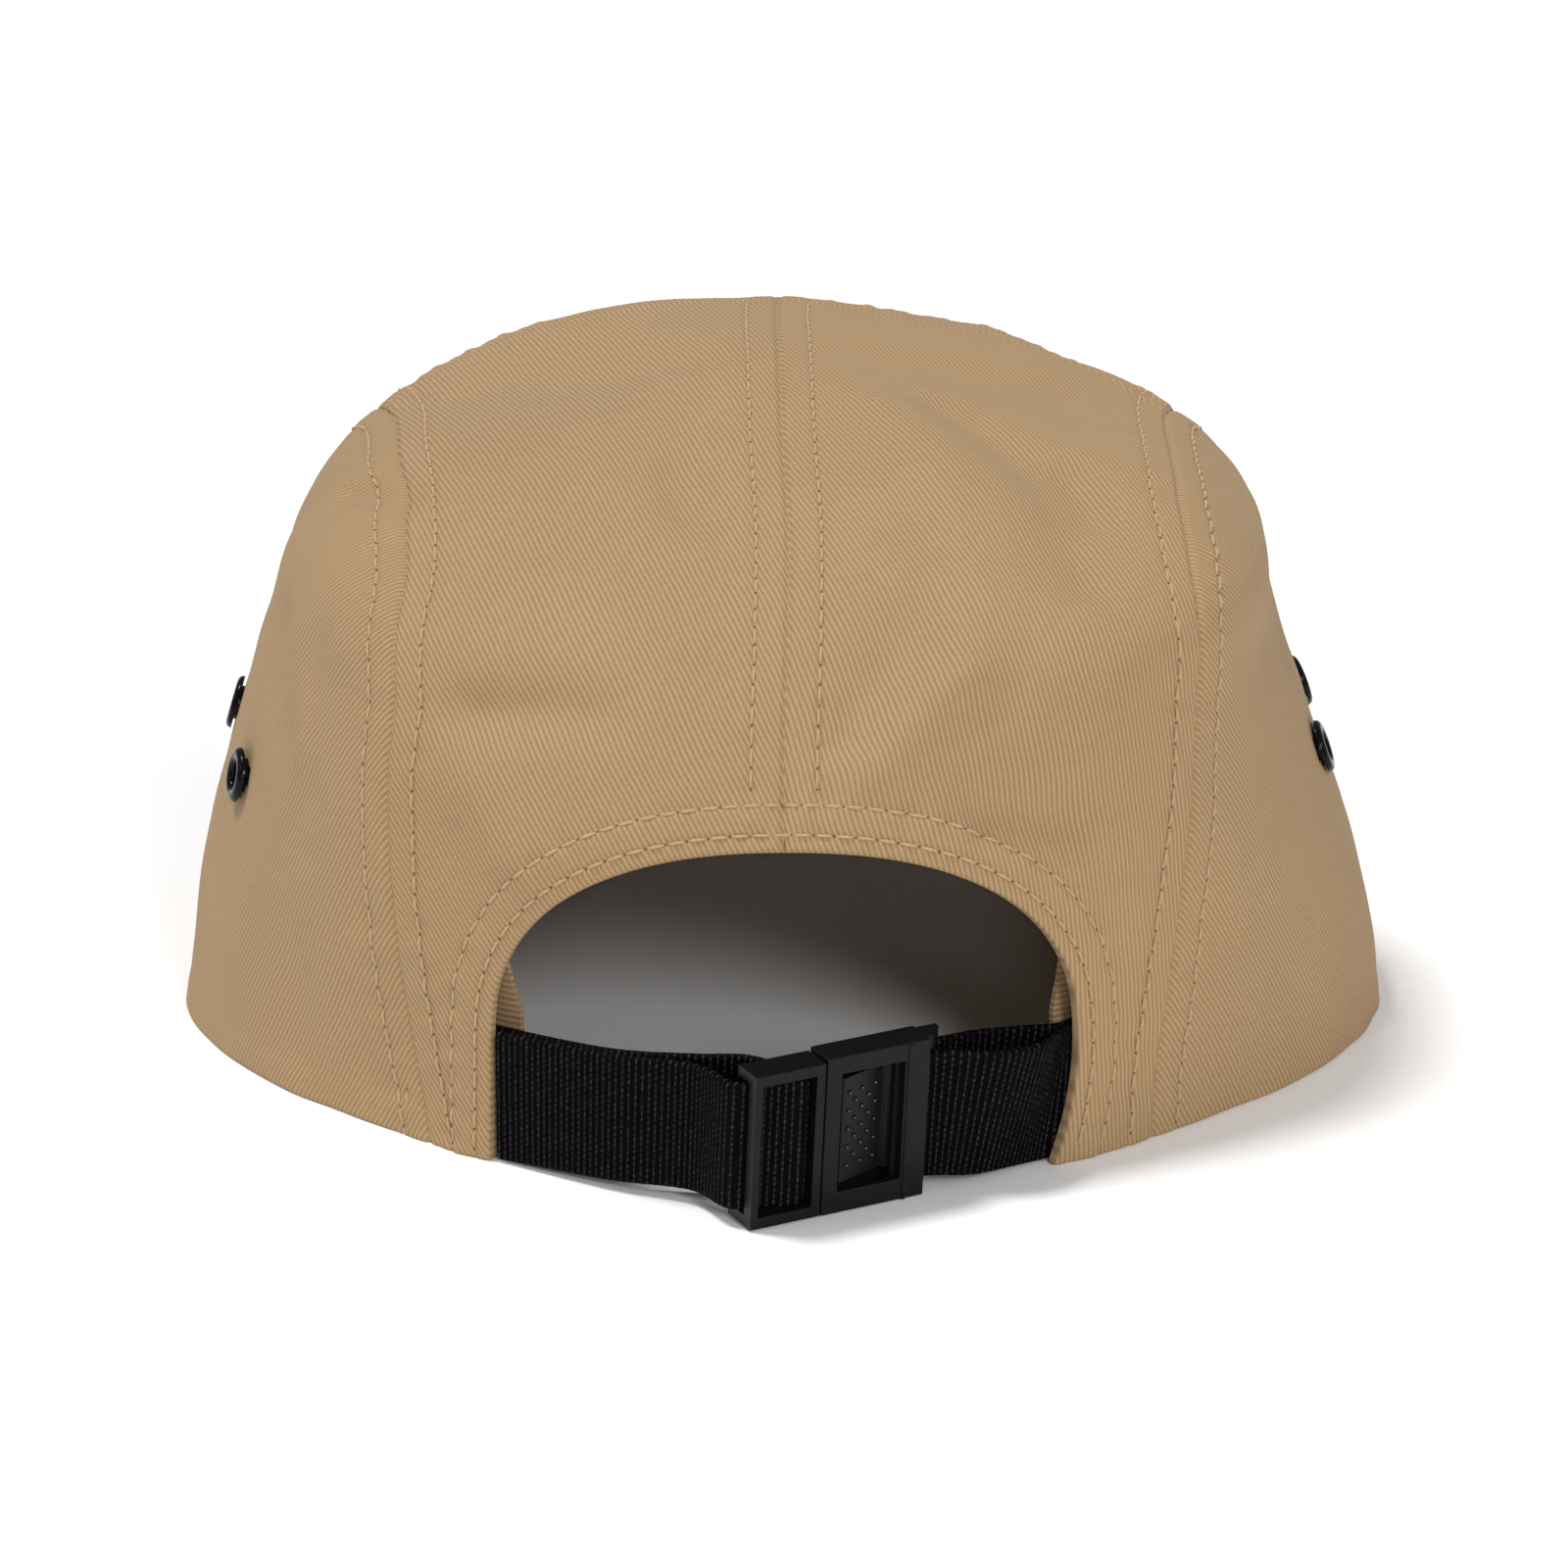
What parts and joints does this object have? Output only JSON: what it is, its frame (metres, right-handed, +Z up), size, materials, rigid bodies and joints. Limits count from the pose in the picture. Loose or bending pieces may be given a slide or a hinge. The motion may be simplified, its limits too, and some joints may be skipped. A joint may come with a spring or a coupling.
{
  "type": "five panel cap",
  "caption": "Low five panel cloth cap with a flat peak, an open arch at the back, side eyelets and a webbing strap closed by a plastic clip.",
  "frame": {"origin": "middle of the cap's footprint, on the surface that it rests on", "axes": "+Z up, -Y the way the peak points, +Y to the strap at the back, +X to the wearer's left"},
  "size_m": [0.1866, 0.2518, 0.1041],
  "materials": {
    "cloth": "matte cotton twill",
    "band": "matte cotton twill band",
    "webbing": "black woven webbing",
    "clip": "satin black moulded plastic",
    "eyelet": "glossy black enamel"
  },
  "bodies": {
    "root": {"front_panel": "cloth", "side_panel_left": "cloth", "side_panel_right": "cloth", "back_panel_left": "cloth", "back_panel_right": "cloth", "peak": "cloth", "sweatband": "band", "strap_left": "webbing", "strap_right": "webbing", "buckle_insert": "clip", "buckle_receiver": "clip", "eyelet_left_back": "eyelet", "eyelet_left_front": "eyelet", "eyelet_right_back": "eyelet", "eyelet_right_front": "eyelet"}
  },
  "joints": []
}
